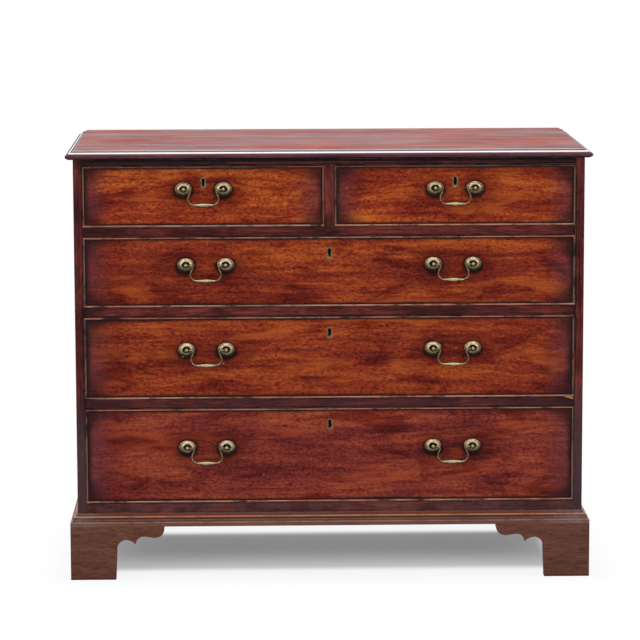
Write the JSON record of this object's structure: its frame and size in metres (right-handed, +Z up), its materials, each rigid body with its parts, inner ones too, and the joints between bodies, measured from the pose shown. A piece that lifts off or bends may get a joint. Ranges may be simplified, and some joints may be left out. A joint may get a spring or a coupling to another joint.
{
  "type": "chest of drawers",
  "caption": "Flat-fronted Georgian-pattern chest with short drawers over long ones, cockbeads, brass swan-neck bails, moulded top and plinth, on shaped bracket feet.",
  "frame": {"origin": "on the floor, under the middle of the whole chest", "axes": "+X to the right as seen from the front, +Y from the front to the back, +Z up"},
  "size_m": [1.07, 0.5296, 0.886],
  "materials": {
    "drawer_mahogany": "polished, deep red-orange with horizontal figure",
    "case_mahogany": "polished, dark",
    "top_mahogany": "polished, faded, with grey streaks",
    "moulding_mahogany": "polished, worn on the arrises",
    "foot_mahogany": "dull, worn",
    "cockbead": "dark, worn to tan on top",
    "oak": "unpolished",
    "pine": "unpolished, aged",
    "brass": "aged, dark in the hollows",
    "iron": "aged"
  },
  "bodies": {
    "carcass": {"top_board": "top_mahogany", "side_left": "case_mahogany", "side_right": "case_mahogany", "top_rails": "case_mahogany", "drawer_rail_upper": "case_mahogany", "drawer_rail_middle": "case_mahogany", "drawer_rail_lower": "case_mahogany", "bottom_rail": "case_mahogany", "centre_divider": "case_mahogany", "dust_boards": "pine", "bottom_board": "pine", "back_boards": "pine", "back_nails": "iron", "plinth_mouldings": "moulding_mahogany", "bracket_feet": "foot_mahogany", "foot_blocks": "pine", "drawer_stops": "pine"},
    "drawer_top_left": {"drawer_top_left_front": "drawer_mahogany", "drawer_top_left_cockbeads": "cockbead", "drawer_top_left_lining": "oak", "drawer_top_left_bottom": "oak", "drawer_top_left_fittings": "brass", "drawer_top_left_lock": "brass"},
    "bolt_top_left": {"drawer_top_left_bolt": "iron"},
    "bail_top_left": {"drawer_top_left_bail": "brass"},
    "drawer_top_right": {"drawer_top_right_front": "drawer_mahogany", "drawer_top_right_cockbeads": "cockbead", "drawer_top_right_lining": "oak", "drawer_top_right_bottom": "oak", "drawer_top_right_fittings": "brass", "drawer_top_right_lock": "brass"},
    "bolt_top_right": {"drawer_top_right_bolt": "iron"},
    "bail_top_right": {"drawer_top_right_bail": "brass"},
    "drawer_upper": {"drawer_upper_front": "drawer_mahogany", "drawer_upper_cockbeads": "cockbead", "drawer_upper_lining": "oak", "drawer_upper_bottom": "oak", "drawer_upper_fittings": "brass", "drawer_upper_lock": "brass"},
    "bolt_upper": {"drawer_upper_bolt": "iron"},
    "bail_upper_left": {"drawer_upper_bail_left": "brass"},
    "bail_upper_right": {"drawer_upper_bail_right": "brass"},
    "drawer_middle": {"drawer_middle_front": "drawer_mahogany", "drawer_middle_cockbeads": "cockbead", "drawer_middle_lining": "oak", "drawer_middle_bottom": "oak", "drawer_middle_fittings": "brass", "drawer_middle_lock": "brass"},
    "bolt_middle": {"drawer_middle_bolt": "iron"},
    "bail_middle_left": {"drawer_middle_bail_left": "brass"},
    "bail_middle_right": {"drawer_middle_bail_right": "brass"},
    "drawer_lower": {"drawer_lower_front": "drawer_mahogany", "drawer_lower_cockbeads": "cockbead", "drawer_lower_lining": "oak", "drawer_lower_bottom": "oak", "drawer_lower_fittings": "brass", "drawer_lower_lock": "brass"},
    "bolt_lower": {"drawer_lower_bolt": "iron"},
    "bail_lower_left": {"drawer_lower_bail_left": "brass"},
    "bail_lower_right": {"drawer_lower_bail_right": "brass"}
  },
  "joints": [
    {"name": "drawer_top_left_slide", "type": "slide", "parent": "carcass", "child": "drawer_top_left", "axis": [0, -1, 0], "range_m": [0, 0.38]},
    {"name": "bolt_top_left_slide", "type": "slide", "parent": "drawer_top_left", "child": "bolt_top_left", "axis": [0, 0, 1], "range_m": [0, 0.008]},
    {"name": "bail_top_left_hinge", "type": "hinge", "parent": "drawer_top_left", "child": "bail_top_left", "pos_m": [-0.256, -0.25925, 0.8062], "axis": [-1, 0, 0], "range_deg": [-15, 195]},
    {"name": "drawer_top_right_slide", "type": "slide", "parent": "carcass", "child": "drawer_top_right", "axis": [0, -1, 0], "range_m": [0, 0.38]},
    {"name": "bolt_top_right_slide", "type": "slide", "parent": "drawer_top_right", "child": "bolt_top_right", "axis": [0, 0, 1], "range_m": [0, 0.008]},
    {"name": "bail_top_right_hinge", "type": "hinge", "parent": "drawer_top_right", "child": "bail_top_right", "pos_m": [0.256, -0.25925, 0.8062], "axis": [-1, 0, 0], "range_deg": [-15, 195]},
    {"name": "drawer_upper_slide", "type": "slide", "parent": "carcass", "child": "drawer_upper", "axis": [0, -1, 0], "range_m": [0, 0.38]},
    {"name": "bolt_upper_slide", "type": "slide", "parent": "drawer_upper", "child": "bolt_upper", "axis": [0, 0, 1], "range_m": [0, 0.008]},
    {"name": "bail_upper_left_hinge", "type": "hinge", "parent": "drawer_upper", "child": "bail_upper_left", "pos_m": [-0.2525, -0.25925, 0.6512], "axis": [-1, 0, 0], "range_deg": [-15, 195]},
    {"name": "bail_upper_right_hinge", "type": "hinge", "parent": "drawer_upper", "child": "bail_upper_right", "pos_m": [0.2525, -0.25925, 0.6512], "axis": [-1, 0, 0], "range_deg": [-15, 195]},
    {"name": "drawer_middle_slide", "type": "slide", "parent": "carcass", "child": "drawer_middle", "axis": [0, -1, 0], "range_m": [0, 0.38]},
    {"name": "bolt_middle_slide", "type": "slide", "parent": "drawer_middle", "child": "bolt_middle", "axis": [0, 0, 1], "range_m": [0, 0.008]},
    {"name": "bail_middle_left_hinge", "type": "hinge", "parent": "drawer_middle", "child": "bail_middle_left", "pos_m": [-0.2525, -0.25925, 0.4767], "axis": [-1, 0, 0], "range_deg": [-15, 195]},
    {"name": "bail_middle_right_hinge", "type": "hinge", "parent": "drawer_middle", "child": "bail_middle_right", "pos_m": [0.2525, -0.25925, 0.4767], "axis": [-1, 0, 0], "range_deg": [-15, 195]},
    {"name": "drawer_lower_slide", "type": "slide", "parent": "carcass", "child": "drawer_lower", "axis": [0, -1, 0], "range_m": [0, 0.38]},
    {"name": "bolt_lower_slide", "type": "slide", "parent": "drawer_lower", "child": "bolt_lower", "axis": [0, 0, 1], "range_m": [0, 0.008]},
    {"name": "bail_lower_left_hinge", "type": "hinge", "parent": "drawer_lower", "child": "bail_lower_left", "pos_m": [-0.2525, -0.25925, 0.2737], "axis": [-1, 0, 0], "range_deg": [-15, 195]},
    {"name": "bail_lower_right_hinge", "type": "hinge", "parent": "drawer_lower", "child": "bail_lower_right", "pos_m": [0.2525, -0.25925, 0.2737], "axis": [-1, 0, 0], "range_deg": [-15, 195]}
  ]
}
